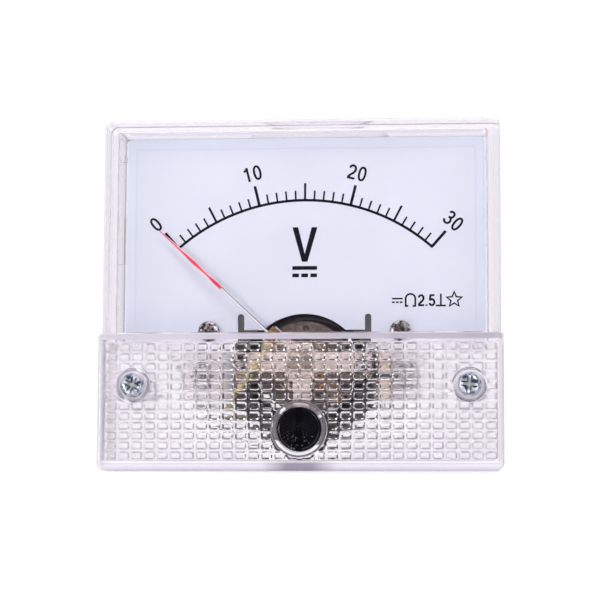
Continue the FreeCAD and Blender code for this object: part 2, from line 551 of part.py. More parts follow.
TAIL_W = (5.3, 7.2, 0.8)
SIDE_W = (3.0, 4.0, 0.6)
keep("balance_weights", weight(180, *TAIL_W), weight(90, *SIDE_W), weight(-90, *SIDE_W))

# ------------------------------------------------------------------ terminals
BACK_IN = BARREL_L - BACK_T
PAD = BARREL_L + 0.5
NUT_END = PAD + 8.9
# drawn at the mean thread radius where the nuts grip it, at its outer size where it is free
keep("terminal_studs", *pair(lambda s: cyl(TERM_GRIP_R, 16.4, NUT_END + 0.1, s * TERM_X, 0).fuse(
    cyl(TERM_R, NUT_END, TERM_END - 0.5, s * TERM_X, 0)).fuse(
    cone(TERM_R, TERM_R - 0.45, TERM_END - 0.5, TERM_END, s * TERM_X, 0)).removeSplitter()))
keep("inner_terminal_nuts", *[hexnut(7.0, a, b, TERM_GRIP_R, s * TERM_X, 0, 20 * s) for s in (-1, 1) for a, b in ((BACK_IN - 2.4, BACK_IN), (BACK_IN - 5.2, BACK_IN - 3.0))])
TAG0, TAG1 = BACK_IN - 3.0, BACK_IN - 2.4


def tag(s):
    x = s * TERM_X
    t = cyl(3.7, TAG0, TAG1, x, 0).fuse(box(x - 1.1, x + 1.1, TAG0, TAG1, -8.2, 0)).fuse(cyl(1.1, TAG0, TAG1, x, -8.2))
    return t.cut([cyl(TERM_R, TAG0 - 1, TAG1 + 1, x, 0), cyl(0.45, TAG0 - 1, TAG1 + 1, x, -8.0)]).removeSplitter()


keep("solder_tags", *pair(tag))
keep("terminal_seat_nuts", *[hexnut(7.0, PAD, PAD + 3.2, TERM_GRIP_R, s * TERM_X, 0, 10 + 15 * s) for s in (-1, 1)])
keep("terminal_washers", *[tube(TERM_R, 4.5, a, a + 0.8, s * TERM_X, 0) for s in (-1, 1) for a in (PAD + 3.2, PAD + 4.0)])
def lock_washer(s):
    a = tube(TERM_R, 3.6, PAD + 4.8, PAD + 5.7, s * TERM_X, 0)
    return a.cut(turn(box(s * TERM_X - 0.2, s * TERM_X + 0.2, PAD + 4, PAD + 7, 1.5, 5), 35 * s, s * TERM_X, 0))


keep("terminal_lock_washers", *pair(lock_washer))
keep("terminal_outer_nuts", *[hexnut(7.0, PAD + 5.7, NUT_END, TERM_GRIP_R, s * TERM_X, 0, 35 * s) for s in (-1, 1)])

# ------------------------------------------------- series resistor and wiring
RX, RY, RZ0, RZ1 = 12.9, -7.0, -16.6, -9.7
res = Part.makeCylinder(1.35, RZ1 - RZ0, V(RX, RY, RZ0), V(0, 0, 1))
for z in (RZ0, RZ1 - 1.5):
    cap = Part.makeCylinder(1.6, 1.5, V(RX, RY, z), V(0, 0, 1))
    cap = cap.makeFillet(0.45, [e for e in cap.Edges if len(e.Vertexes) == 1])
    res = res.fuse(cap)
keep("series_resistor", res.removeSplitter())
LEAD = 0.3
keep("resistor_leads",
     route([(RX, RY, RZ1), (RX, RY, -8.2), (10.2, RY, -8.2), (10.2, RY, PZ + 1.5)], 0.6, LEAD),
     route([(RX, RY, RZ0), (RX, RY, -18.1), (RX, 18.2, -18.1), (RX, 18.2, -14.0), (TERM_X + 0.2, 18.68, -8.3)], 1.2, LEAD))
tx = math.sin(math.radians(TAB_DEG))
tz = math.cos(math.radians(TAB_DEG))
rr = SPRING_R + 0.75 + 0.95
keep("lever_lead_wire", route([(tx * rr, -9.1, PZ + tz * rr), (-4.9, -9.7, -7.5), (-7.9, -10.0, -12.4), (-10.9, -8.2, -15.6), (-12.8, -2.0, -18.0), (-12.9, 14.0, -18.2), (-11.6, 18.0, -14.0), (-TERM_X, 18.5, -8.3)], 1.5, 0.5))

# -------------------------------------------------------------------- export
DENS = {"coil_former": 2.7e-3, "coil_winding": 8.5e-3, "front_staff": 7.85e-3, "rear_staff": 7.85e-3, "rear_collet": 8.5e-3,
        "balance_cross": 8.5e-3, "pointer": 2.7e-3, "balance_weights": 8.5e-3}
m = 0.0
c = V(0, 0, 0)
for n, d in DENS.items():
    for s in PARTS[n].Solids:
        m += s.Volume * d
        c += s.CenterOfMass * (s.Volume * d)
c = c * (1 / m)
back = math.radians(REST_DEG)
dx, dz = c.x, c.z - PZ
print("moving system %.4f g, centre off axis: across %.4f along the pointer %.4f mm" % (
    m, dx * math.cos(back) + dz * math.sin(back), -dx * math.sin(back) + dz * math.cos(back)))

for name, shape in PARTS.items():
    shape.exportStep("parts/%s.step" % name)
print(len(PARTS), "nodes,", sum(len(s.Solids) for s in PARTS.values()), "solids")
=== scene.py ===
"""Looks of the analog panel meter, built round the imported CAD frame. Metres; +X right from the front, +Y back, +Z up."""
import json
import math

import bmesh
import bpy
import numpy as np
from mathutils import Matrix, Vector


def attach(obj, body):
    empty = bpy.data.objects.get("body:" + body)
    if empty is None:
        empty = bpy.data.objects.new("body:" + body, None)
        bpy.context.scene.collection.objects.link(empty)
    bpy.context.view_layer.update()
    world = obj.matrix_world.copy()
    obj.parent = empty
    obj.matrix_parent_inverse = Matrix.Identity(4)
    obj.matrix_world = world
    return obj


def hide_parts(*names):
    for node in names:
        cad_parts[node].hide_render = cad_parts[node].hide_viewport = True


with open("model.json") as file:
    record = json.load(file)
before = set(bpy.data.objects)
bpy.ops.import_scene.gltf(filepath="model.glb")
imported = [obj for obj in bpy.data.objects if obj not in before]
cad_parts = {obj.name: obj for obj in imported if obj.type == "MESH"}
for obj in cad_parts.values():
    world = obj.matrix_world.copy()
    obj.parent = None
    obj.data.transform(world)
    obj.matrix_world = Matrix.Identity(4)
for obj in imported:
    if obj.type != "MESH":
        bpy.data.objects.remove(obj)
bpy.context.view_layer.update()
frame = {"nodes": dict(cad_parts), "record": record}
nodes = frame["nodes"]
MM = 0.001

# ------------------------------------------------------------------ sizes (mm)
PIVOT_Z = -10.9
ADJ_Z = -21.5
DIAL_FACE = -5.0
REST_DEG = 47.0


# ------------------------------------------------------------- material helpers
class Mat:
    """A node material with its Principled shader and object coordinates in millimetres."""

    def __init__(self, name):
        self.m = bpy.data.materials.new(name)
        self.m.use_nodes = True
        self.t = self.m.node_tree
        self.t.nodes.clear()
        self.out = self.n("ShaderNodeOutputMaterial")
        self.p = self.n("ShaderNodeBsdfPrincipled")
        self.link(self.p.outputs[0], self.out.inputs[0])
        tc = self.n("ShaderNodeTexCoord")
        mp = self.n("ShaderNodeMapping")
        mp.inputs["Scale"].default_value = (1000, 1000, 1000)
        self.link(tc.outputs["Object"], mp.inputs["Vector"])
        self.mm = mp.outputs[0]

    def n(self, kind, **values):
        node = self.t.nodes.new(kind)
        for k, v in values.items():
            setattr(node, k, v)
        return node

    def link(self, a, b):
        self.t.links.new(a, b)

    def set(self, **values):
        for k, v in values.items():
            self.p.inputs[k.replace("_", " ")].default_value = v
        return self

    def scaled(self, sx, sy, sz, rot=(0, 0, 0)):
        mp = self.n("ShaderNodeMapping")
        mp.inputs["Rotation"].default_value = rot
        mp.inputs["Scale"].default_value = (sx, sy, sz)
        self.link(self.mm, mp.inputs["Vector"])
        return mp.outputs[0]

    def noise(self, scale, detail=3.0, rough=0.5, vec=None, distort=0.0):
        nz = self.n("ShaderNodeTexNoise")
        nz.inputs["Scale"].default_value = scale
        nz.inputs["Detail"].default_value = detail
        nz.inputs["Roughness"].default_value = rough
        nz.inputs["Distortion"].default_value = distort
        self.link(vec or self.mm, nz.inputs["Vector"])
        return nz.outputs["Fac"]

    def remap(self, value, a, b, lo=0.3, hi=0.7):
        r = self.n("ShaderNodeMapRange")
        r.inputs["From Min"].default_value = lo
        r.inputs["From Max"].default_value = hi
        r.inputs["To Min"].default_value = a
        r.inputs["To Max"].default_value = b
        self.link(value, r.inputs["Value"])
        return r.outputs[0]

    def ramp(self, value, stops, mode="LINEAR"):
        r = self.n("ShaderNodeValToRGB")
        e = r.color_ramp
        e.interpolation = mode
        while len(e.elements) < len(stops):
            e.elements.new(0.5)
        for el, (pos, col) in zip(e.elements, stops):
            el.position = pos
            el.color = (*col, 1.0)
        self.link(value, r.inputs["Fac"])
        return r.outputs["Color"]

    def mixc(self, fac, a, b, mode="MIX"):
        m = self.n("ShaderNodeMix", data_type="RGBA", blend_type=mode)
        for v, i in ((fac, 0), (a, 6), (b, 7)):
            if hasattr(v, "is_output"):
                self.link(v, m.inputs[i])
            elif i == 0:
                m.inputs[0].default_value = v
            else:
                m.inputs[i].default_value = (*v, 1.0)
        return m.outputs[2]

    def math(self, op, a, b=0.0, c=0.0):
        m = self.n("ShaderNodeMath", operation=op)
        for i, v in enumerate((a, b, c)):
            if hasattr(v, "is_output"):
                self.link(v, m.inputs[i])
            else:
                m.inputs[i].default_value = v
        return m.outputs[0]

    def xyz(self, vec=None):
        s = self.n("ShaderNodeSeparateXYZ")
        self.link(vec or self.mm, s.inputs[0])
        return s.outputs

    def bump(self, height, depth_mm, strength=1.0):
        b = self.n("ShaderNodeBump")
        b.inputs["Strength"].default_value = strength
        b.inputs["Distance"].default_value = depth_mm * MM
        self.link(height, b.inputs["Height"])
        self.link(b.outputs[0], self.p.inputs["Normal"])
        return self

    def color(self, socket):
        self.link(socket, self.p.inputs["Base Color"])
        return self

    def rough(self, socket):
        self.link(socket, self.p.inputs["Roughness"])
        return self


def metal(name, bright, dark, r0, r1, grain=3.0, brush=None, depth=0.004, tarnish=0.45):
    """Machined or plated metal: uneven tone, patchy gloss and fine tool marks."""
    a = Mat(name).set(Metallic=1.0)
    patch = a.noise(0.55, 4, 0.6, distort=0.4)
    fine = a.noise(grain, 3, 0.55, vec=a.scaled(*brush) if brush else None)
    tone = a.math("ADD", a.math("MULTIPLY", patch, tarnish), a.math("MULTIPLY", fine, 1 - tarnish))
    a.color(a.ramp(tone, [(0.34, dark), (0.56, bright), (0.75, tuple(min(1, c * 1.08) for c in bright))]))
    a.rough(a.remap(tone, r1, r0))
    return a.bump(fine, depth).m


def plastic(name, base, alt, r0, r1, depth=0.006, grain=4.0, coat=0.0):
    """Moulded opaque plastic: faint mottling, uneven gloss, fine skin texture."""
    a = Mat(name).set(Specular_IOR_Level=0.5, Coat_Weight=coat)
    if coat:
        a.set(Coat_Roughness=0.08)
    big, fine = a.noise(0.4, 3), a.noise(grain, 4, 0.6)
    a.color(a.mixc(a.remap(big, 0, 1), base, alt))
    a.rough(a.remap(fine, r0, r1))
    return a.bump(fine, depth).m


def clear(name, tint, passed, r0, r1, ior=1.49, depth=0.002, ripple=0.25, matt=None, veil=0.0):
    """Clear moulded plastic: it bends what is behind it, and lamps shine through it. matt is (z0, z1, y, roughness) of
    a strip left unpolished on the front; with matt the colour also carries painted light: highlight and shade lines
    along the rim, dark rings round the adjuster's collar, painted shade on the strip and below the adjuster.
    """
    a = Mat(name).set(Base_Color=(*tint, 1), Transmission_Weight=1.0, IOR=ior)
    skin = a.noise(ripple, 2, 0.4)
    haze = a.noise(1.3, 4, 0.6)
    rough = a.remap(haze, r0, r1)
    if matt:
        z0, z1, y0, value = matt
        x, y, z = a.xyz()
        strip = a.math("MULTIPLY", a.math("GREATER_THAN", z, z0), a.math("LESS_THAN", z, z1))
        strip = a.math("MULTIPLY", strip, a.math("LESS_THAN", y, y0))
        rough = a.math("ADD", rough, a.math("MULTIPLY", strip, value))
        ax = a.math("ABSOLUTE", x)
        foot = a.math("MULTIPLY", a.math("SUBTRACT", -26.2, z), 1.4)
        rim = a.math("MAXIMUM", a.math("SUBTRACT", ax, 30.95), foot)
        rim = a.remap(rim, 0, 0.68, 0.0, 0.5)
        upper = a.math("MAXIMUM", a.math("MINIMUM", a.math("SUBTRACT", ax, 30.0), a.math("ADD", z, 6.3)), a.math("SUBTRACT", z, 26.3))
        rim = a.math("MAXIMUM", rim, a.remap(upper, 0, 0.24, 0.0, 0.4))
        sunk = a.math("SQRT", a.math("ADD", a.math("POWER", a.math("SUBTRACT", ax, 26.6), 2.0), a.math("POWER", a.math("ADD", z, 14.45), 2.0)))
        ring = a.math("SQRT", a.math("ADD", a.math("POWER", x, 2.0), a.math("POWER", a.math("SUBTRACT", z, ADJ_Z), 2.0)))
        rim = a.math("MAXIMUM", rim, a.math("MULTIPLY", a.math("LESS_THAN", sunk, 2.68), a.remap(sunk, 0.72, 0.16, 2.15, 2.45)))
        front = a.math("LESS_THAN", y, -13.5)
        # painted shade: dark rings round the adjuster's collar on the front face
        lines = a.math("MAXIMUM", a.remap(a.math("ABSOLUTE", a.math("SUBTRACT", ring, 4.22)), 1, 0, 0.07, 0.13), a.remap(a.math("ABSOLUTE", a.math("SUBTRACT", ring, 3.60)), 0.9, 0, 0.04, 0.10))
        lines = a.math("MULTIPLY", lines, front)
        rim = a.math("MAXIMUM", rim, a.math("MULTIPLY", a.math("LESS_THAN", ring, 4.5), 0.16))
        rim = a.math("MAXIMUM", rim, a.math("MULTIPLY", lines, 0.75))
        rim = a.math("MULTIPLY", rim, a.math("MAXIMUM", a.remap(y, 1.0, 0.5, -11.0, -8.0), a.math("LESS_THAN", sunk, 2.7)))
        milk = a.math("MAXIMUM", a.math("MULTIPLY", strip, 0.86), rim)
        a.link(a.math("SUBTRACT", 1.0, milk), a.p.inputs["Transmission Weight"])
        streak = a.noise(0.5, 3, 0.6, vec=a.scaled(0.3, 1, 5))
        pale = a.math("LESS_THAN", sunk, 2.7)
        # painted shade: the milky colour darkens towards +X, most on the strip
        a.color(a.mixc(milk, tint, a.mixc(a.remap(a.math("ADD", streak, a.math("MULTIPLY", x, a.math("ADD", 0.004, a.math("MULTIPLY", strip, 0.011)))), 0, 1), (0.76, 0.70, 0.82), (0.62, 0.565, 0.67))))
        toned = a.mixc(pale, a.p.inputs["Base Color"].links[0].from_socket, (0.96, 0.93, 0.975))
        # painted highlights and painted shade: bright and dark lines along the bottom and side rim
        inward = a.math("MINIMUM", a.math("DIVIDE", a.math("ADD", z, 28.0), 1.8), a.math("DIVIDE", a.math("SUBTRACT", 32.0, ax), 1.25))
        rim_light_lines = a.ramp(inward, [(0.0, (0.55, 0.50, 0.61)), (0.12, (0.70, 0.65, 0.76)), (0.30, (0.83, 0.78, 0.88)), (0.50, (0.95, 0.92, 0.97)), (0.62, (0.74, 0.69, 0.80)), (0.70, (0.98, 0.96, 0.99)), (1.0, (0.93, 0.88, 0.95))])
        weight = a.math("ADD", 0.3, a.math("MULTIPLY", a.math("LESS_THAN", z, -26.2), 0.7))
        zone = a.math("MULTIPLY", a.math("LESS_THAN", inward, 1.0), a.math("LESS_THAN", z, -6.3))
        toned = a.mixc(a.math("MULTIPLY", zone, weight), toned, rim_light_lines)
        # painted shade in the bottom edge below the adjuster
        bottom_shade = a.math("MULTIPLY", a.remap(ax, 1, 0, 2.0, 6.0), a.remap(z, 1, 0, -26.9, -26.4))
        toned = a.mixc(a.math("MULTIPLY", bottom_shade, 0.75), toned, (0.20, 0.15, 0.24))
        # painted shade over the strip, deeper towards its right end
        toned = a.mixc(a.math("MULTIPLY", strip, a.remap(x, 0.24, 0.50, 2.0, 28.0)), toned, (0.30, 0.27, 0.33))
        a.link(a.mixc(lines, toned, (0.13, 0.10, 0.13)), a.p.inputs["Base Color"])
    if veil:
        x, y, z = a.xyz()
        ax = a.math("ABSOLUTE", x)
        soft = a.math("MAXIMUM", a.remap(ax, 0, 1, 13.0, 19.0), a.math("MULTIPLY", a.remap(z, 1, 0, -24.0, -20.0), a.remap(ax, 0, 1, 5.0, 9.0)))
        soft = a.math("MULTIPLY", soft, a.math("MULTIPLY", a.remap(a.noise(0.6, 3), 0.75, 1.1), veil))
        a.link(a.math("SUBTRACT", 1.0, soft), a.p.inputs["Transmission Weight"])
        a.color(a.mixc(soft, tint, (0.99, 0.95, 0.98)))
    a.rough(rough)
    a.bump(skin, depth)
    tr = a.n("ShaderNodeBsdfTransparent")
    tr.inputs[0].default_value = (*passed, 1)
    lp, mx = a.n("ShaderNodeLightPath"), a.n("ShaderNodeMixShader")
    a.link(lp.outputs["Is Shadow Ray"], mx.inputs[0])
    a.link(a.p.outputs[0], mx.inputs[1])
    a.link(tr.outputs[0], mx.inputs[2])
    a.link(mx.outputs[0], a.out.inputs[0])
    return a.m


# ------------------------------------------------------------------- materials
M = {}
M["clear_case"] = clear("clear_case_plastic", (0.972, 0.945, 0.98), (0.985, 0.98, 0.99), 0.0, 0.02, depth=0.0015, matt=(-7.34, -6.3, -13.9, 0.42))
M["lattice"] = clear("clear_lattice_plastic", (0.972, 0.945, 0.975), (0.985, 0.98, 0.99), 0.03, 0.07, depth=0.002, veil=0.34)
M["clear_base"] = clear("clear_base_plastic", (0.955, 0.935, 0.96), (0.97, 0.965, 0.975), 0.01, 0.06, depth=0.004)

# painted dial: bluish white enamel with the faintest orange peel, plus painted light and shade from the case: a light
# band and a dark shadow line along its edges, painted shade over its lower part and a pale band at its foot
a = Mat("dial_enamel_painted_light").set(Specular_IOR_Level=0.22)
x, y, z = a.xyz()
border = a.math("MAXIMUM", a.math("SUBTRACT", a.math("ABSOLUTE", x), 27.5), a.math("SUBTRACT", z, 24.5))
dial_tone_painted_light = a.mixc(a.remap(a.noise(0.12, 2), 0, 1), (0.71, 0.765, 0.82), (0.74, 0.79, 0.845))
# painted light: a lighter band along the top and side edges, under the case's rim
dial_tone_painted_light = a.mixc(a.remap(border, 0, 1, 0.0, 0.5), dial_tone_painted_light, (0.715, 0.79, 0.86))
# painted shade over the lower part, below the cover's thick lower section
dial_tone_painted_light = a.mixc(a.remap(z, 0.5, 0.0, -5.0, 0.2), dial_tone_painted_light, (0.63, 0.67, 0.77))
# painted light: a pale pinkish band along the foot, behind the cover's step
dial_tone_painted_light = a.mixc(a.remap(z, 1, 0, -6.6, -5.6), dial_tone_painted_light, (0.83, 0.80, 0.85))
# painted shadow: a dark line where the rim's shadow edge falls
a.color(a.mixc(a.remap(a.math("ABSOLUTE", border), 0.6, 0.0, 0.0, 0.22), dial_tone_painted_light, (0.62, 0.67, 0.76)))
a.rough(a.remap(a.noise(3.0, 3), 0.38, 0.5))
M["dial_white"] = a.bump(a.noise(2.2, 2), 0.0025).m

M["zinc_screw"] = metal("zinc_plate", (0.78, 0.82, 0.88), (0.30, 0.34, 0.42), 0.16, 0.36, 2.4, depth=0.01)
# dial screws: nickel plate whose dark blotches are painted reflections
a = Mat("nickel_plate_painted_reflections").set(Metallic=0.8)
reflection_blots = a.noise(1.5, 3, 0.6, distort=1.4)
a.color(a.ramp(reflection_blots, [(0.43, (0.035, 0.018, 0.015)), (0.49, (0.30, 0.26, 0.24)), (0.56, (0.80, 0.77, 0.76))]))
a.rough(a.remap(a.noise(2.3, 3), 0.10, 0.22))
M["nickel_screw"] = a.bump(a.noise(1.9, 3), 0.06).m

# cover screws: bright zinc with painted light: painted shade on the flanks of the cross recess, a painted highlight
# along the middle of its arms, a painted dark line round the head and dark painted reflections in blotches
a = Mat("zinc_cross_painted_light")
x, y, z = a.xyz()
off = a.math("SQRT", a.math("ADD", a.math("POWER", a.math("SUBTRACT", a.math("ABSOLUTE", x), 26.6), 2.0), a.math("POWER", a.math("ADD", z, 14.45), 2.0)))
wings = []
for cx, deg in ((-26.6, 22.0), (26.6, 5.0)):
    cd, sd = math.cos(math.radians(deg)), math.sin(math.radians(deg))
    px, pz = a.math("SUBTRACT", x, cx), a.math("SUBTRACT", z, -14.45)
    wu = a.math("ABSOLUTE", a.math("SUBTRACT", a.math("MULTIPLY", px, cd), a.math("MULTIPLY", pz, sd)))
    wv = a.math("ABSOLUTE", a.math("ADD", a.math("MULTIPLY", px, sd), a.math("MULTIPLY", pz, cd)))
    wings.append(a.math("MINIMUM", wu, wv))
across = a.math("MINIMUM", wings[0], wings[1])
near = a.math("LESS_THAN", off, 1.32)
edge = a.math("MULTIPLY", near, a.math("MULTIPLY", a.math("GREATER_THAN", across, 0.20), a.math("LESS_THAN", across, 0.40)))
heart = a.math("MULTIPLY", near, a.math("LESS_THAN", across, 0.20))
reflection_blots = a.noise(0.95, 3, 0.6, distort=0.8)
skin = a.ramp(reflection_blots, [(0.42, (0.07, 0.085, 0.14)), (0.47, (0.50, 0.55, 0.65)), (0.56, (0.86, 0.89, 0.95))])
# painted shade line round the head's rim
rimline = a.remap(a.math("ABSOLUTE", a.math("SUBTRACT", off, 1.62)), 0.75, 0.0, 0.03, 0.14)
skin = a.mixc(rimline, skin, (0.30, 0.33, 0.40))
skin = a.mixc(edge, skin, (0.05, 0.065, 0.10))
a.color(a.mixc(heart, skin, (0.90, 0.92, 0.94)))
a.link(a.remap(heart, 0.55, 0.15, 0.0, 1.0), a.p.inputs["Metallic"])
a.rough(a.remap(a.noise(2.4, 3), 0.07, 0.2))
M["zinc_cross"] = a.bump(a.noise(1.6, 3), 0.03).m

M["brass_stud"] = metal("brass_bright", (0.86, 0.68, 0.34), (0.48, 0.33, 0.14), 0.2, 0.4, 2.0)
M["brass"] = metal("brass_turned", (0.56, 0.48, 0.40), (0.20, 0.15, 0.11), 0.2, 0.38, 2.6)
M["lever_brass"] = metal("brass_pressed", (0.93, 0.70, 0.22), (0.66, 0.44, 0.10), 0.25, 0.45, 1.6)
a = Mat("iron_ring_painted_shade").set(Metallic=0.1, Specular_IOR_Level=0.12)
x, y, z = a.xyz()
rust = a.noise(1.4, 4, 0.6)
# painted shade: near-black at the front, lighter towards the back, as the gap round the core lies in shade; rust mottle
# over it
skin = a.mixc(a.remap(y, 0, 1, -1.6, 0.2), (0.006, 0.004, 0.004), (0.085, 0.066, 0.054))
a.color(a.mixc(a.remap(rust, 0, 0.5), skin, (0.024, 0.017, 0.014)))
a.rough(a.remap(rust, 0.5, 0.75))
M["soft_iron"] = a.bump(rust, 0.01).m
M["bridge_metal"] = metal("bridge_plate", (0.88, 0.78, 0.71), (0.36, 0.27, 0.23), 0.22, 0.42, 3.0, brush=(0.25, 3, 3))
M["hairspring_bronze"] = metal("spring_bronze", (0.80, 0.50, 0.24), (0.50, 0.26, 0.10), 0.2, 0.3, 2.0)
M["tinned"] = metal("tinned_wire", (0.80, 0.80, 0.79), (0.45, 0.45, 0.45), 0.2, 0.4, 2.0)
M["aluminium_former"] = metal("former_sheet", (0.80, 0.80, 0.81), (0.5, 0.5, 0.5), 0.3, 0.45, 3.0)
M["pivot_steel"] = metal("staff_steel", (0.66, 0.66, 0.66), (0.3, 0.3, 0.3), 0.1, 0.25, 4.0)
M["dark_moulding"] = plastic("frame_moulding", (0.135, 0.118, 0.105), (0.19, 0.168, 0.15), 0.45, 0.7, 0.02, 5.0)
a = Mat("frame_moulding_shaded").set(Specular_IOR_Level=0.4)
x, y, z = a.xyz()
# light grey arms; the rest dark grey above z -5, near-black with a mottle below z -8: painted shade deep in the case
arm = a.remap(a.math("ABSOLUTE", x), 0, 1, 10.8, 13.0)
foot = a.remap(z, 1, 0, -8.0, -5.0)
grime_and_shade = a.noise(0.9, 5, 0.65)
heart = a.mixc(a.remap(grime_and_shade, 0, 1), (0.022, 0.018, 0.018), (0.075, 0.062, 0.055))
edge = a.mixc(foot, (0.115, 0.108, 0.105), heart)
a.color(a.mixc(arm, edge, (0.69, 0.66, 0.67)))
a.rough(a.remap(a.noise(5.0, 4, 0.6), 0.45, 0.7))
M["dark_moulding"] = a.bump(a.noise(5.0, 4, 0.6), 0.02).m
a = Mat("adjuster_plastic").set(Specular_IOR_Level=0.35)
x, y, z = a.xyz()
dz = a.math("SUBTRACT", z, ADJ_Z + 0.6)
turn = a.math("ARCTAN2", x, dz)
reach = a.math("SQRT", a.math("ADD", a.math("POWER", x, 2.0), a.math("POWER", dz, 2.0)))
cb = a.n("ShaderNodeCombineXYZ")
a.link(a.math("MULTIPLY", turn, 7.0), cb.inputs[0])
a.link(a.math("MULTIPLY", reach, 1.1), cb.inputs[1])
scuff_and_glint = a.noise(1.6, 4, 0.7, vec=cb.outputs[0])
# painted glints: pale flecks in the lower half of the knob
low = a.remap(dz, 1.0, 0.0, -2.6, -0.4)
painted_glints = a.math("MULTIPLY", a.remap(scuff_and_glint, 0, 1, 0.60, 0.70), low)
a.color(a.mixc(painted_glints, (0.002, 0.002, 0.005), (0.40, 0.40, 0.45)))
a.rough(a.remap(scuff_and_glint, 0.06, 0.16))
M["black_plastic"] = a.bump(scuff_and_glint, 0.012).m

# sintered core: grey-brown ground face with turning rings
a = Mat("core_ground").set(Metallic=0.55)
x, y, z = a.xyz()
rad = a.math("SQRT", a.math("ADD", a.math("POWER", x, 2.0), a.math("POWER", a.math("ADD", z, -PIVOT_Z), 2.0)))
ring = a.math("SINE", a.math("MULTIPLY", rad, 24.0))
grit = a.noise(2.2, 5, 0.65)
a.color(a.ramp(grit, [(0.3, (0.080, 0.060, 0.052)), (0.52, (0.140, 0.110, 0.095)), (0.72, (0.21, 0.168, 0.145))]))
a.rough(a.remap(grit, 0.36, 0.55))
M["core_steel"] = a.bump(a.math("ADD", a.math("MULTIPLY", ring, 0.35), grit), 0.006).m

# enamelled wire laid side by side along the coil
a = Mat("copper_winding").set(Metallic=0.85, Coat_Weight=0.6, Coat_Roughness=0.15)
turned = a.scaled(1, 1, 1, rot=(0, math.radians(REST_DEG), 0))
x, y, z = a.xyz(turned)
strand = a.math("SINE", a.math("MULTIPLY", x, 2 * math.pi / 0.13))
tone = a.math("ADD", a.math("MULTIPLY", strand, 0.22), a.noise(2.5, 3))
a.color(a.ramp(tone, [(0.2, (0.12, 0.048, 0.02)), (0.5, (0.38, 0.19, 0.095)), (0.85, (0.66, 0.40, 0.22))]))
a.rough(a.remap(strand, 0.2, 0.4, -1, 1))
M["copper_wire"] = a.bump(strand, 0.02).m

# film resistor: cream body, four plain bands
a = Mat("resistor_coat").set(Specular_IOR_Level=0.5, Coat_Weight=0.4, Coat_Roughness=0.15)
x, y, z = a.xyz()
along = a.math("DIVIDE", a.math("ADD", z, 16.6), 6.9)
body, red, brown, gold, black = (0.62, 0.54, 0.46), (0.30, 0.13, 0.09), (0.17, 0.09, 0.06), (0.52, 0.40, 0.22), (0.03, 0.03, 0.03)
bands = a.ramp(along, [(0.0, body), (0.13, gold), (0.18, body), (0.36, red), (0.43, body), (0.52, black), (0.59, body), (0.80, brown), (0.87, body)], "CONSTANT")
a.color(a.mixc(a.remap(a.noise(2.5, 3), 0, 0.35), bands, (0.62, 0.46, 0.28), "MULTIPLY"))
a.rough(a.remap(a.noise(4, 3), 0.3, 0.45))
M["resistor_body"] = a.bump(a.noise(3, 3), 0.01).m

a = Mat("yellow_sleeve").set(Specular_IOR_Level=0.5)
x, y, z = a.xyz()
sleeve = a.mixc(a.remap(a.noise(0.8, 3), 0, 1), (0.46, 0.36, 0.15), (0.60, 0.51, 0.28))
a.color(a.mixc(a.remap(z, 0, 1, -8.4, -7.6), sleeve, (0.20, 0.085, 0.04)))
a.rough(a.remap(a.noise(5, 3), 0.3, 0.5))
M["yellow_wire"] = a.bump(a.noise(5, 3), 0.006).m

# pointer: bright aluminium near the pivot with painted dark-grey shade along its edges; red lacquer outside with pale
# pink flanks, painted highlights
a = Mat("pointer_lacquer").set(Specular_IOR_Level=0.35)
s, c = math.sin(math.radians(REST_DEG)), math.cos(math.radians(REST_DEG))
x0, y0, z0 = a.xyz()
zz = a.math("SUBTRACT", z0, PIVOT_Z)
run = a.math("ADD", a.math("MULTIPLY", x0, -s), a.math("MULTIPLY", zz, c))
lat = a.math("ADD", a.math("MULTIPLY", x0, c), a.math("MULTIPLY", zz, s))
t = a.math("DIVIDE", run, 32.0)
spread = a.ramp(t, [(0.0, (0, 0, 0)), (0.565, (0.55, 0.55, 0.55)), (0.62, (0.60, 0.60, 0.60)), (0.66, (0.24, 0.24, 0.24)), (0.70, (0.30, 0.30, 0.30)), (0.75, (0.62, 0.62, 0.62)), (0.80, (0.45, 0.45, 0.45)), (0.84, (0.26, 0.26, 0.26)), (1.0, (0.14, 0.14, 0.14))])
wide = a.math("MULTIPLY", spread, 0.42)
off = a.math("ABSOLUTE", a.math("SUBTRACT", lat, a.math("MULTIPLY", a.noise(0.35, 2), 0.05)))
core = a.remap(a.math("SUBTRACT", off, wide), 1, 0, -0.02, 0.03)
# painted highlights: pale pink flanks either side of the red core
lacquer_and_painted_flanks = a.mixc(core, (0.86, 0.60, 0.66), (0.72, 0.035, 0.08))
# painted shade: dark grey edges on the bare part
dark_edge = a.remap(lat, 0, 1, 0.09, 0.13)
dark_left = a.remap(lat, 1, 0, -0.17, -0.13)
bare_and_painted_edges = a.mixc(a.math("MAXIMUM", dark_edge, a.math("MULTIPLY", dark_left, 0.5)), (0.86, 0.86, 0.90), (0.10, 0.10, 0.13))
a.color(a.mixc(a.math("GREATER_THAN", t, 0.5675), bare_and_painted_edges, lacquer_and_painted_flanks))
a.rough(a.remap(a.noise(2.0, 3), 0.35, 0.5))
M["pointer_aluminium"] = a.bump(a.noise(3, 3), 0.003).m

a = Mat("dial_ink").set(Specular_IOR_Level=0.06)
a.color(a.mixc(a.remap(a.noise(2.5, 4), 0, 1), (0.002, 0.0025, 0.007), (0.006, 0.007, 0.014)))
a.rough(a.remap(a.noise(6, 3), 0.6, 0.8))
INK = a.bump(a.noise(8, 3), 0.002).m

a = Mat("soft_solder").set(Metallic=1.0)
a.color(a.ramp(a.noise(1.6, 4), [(0.3, (0.42, 0.42, 0.43)), (0.6, (0.74, 0.74, 0.75))]))
a.rough(a.remap(a.noise(3, 3), 0.22, 0.42))
SOLDER = a.bump(a.noise(2, 3), 0.02).m

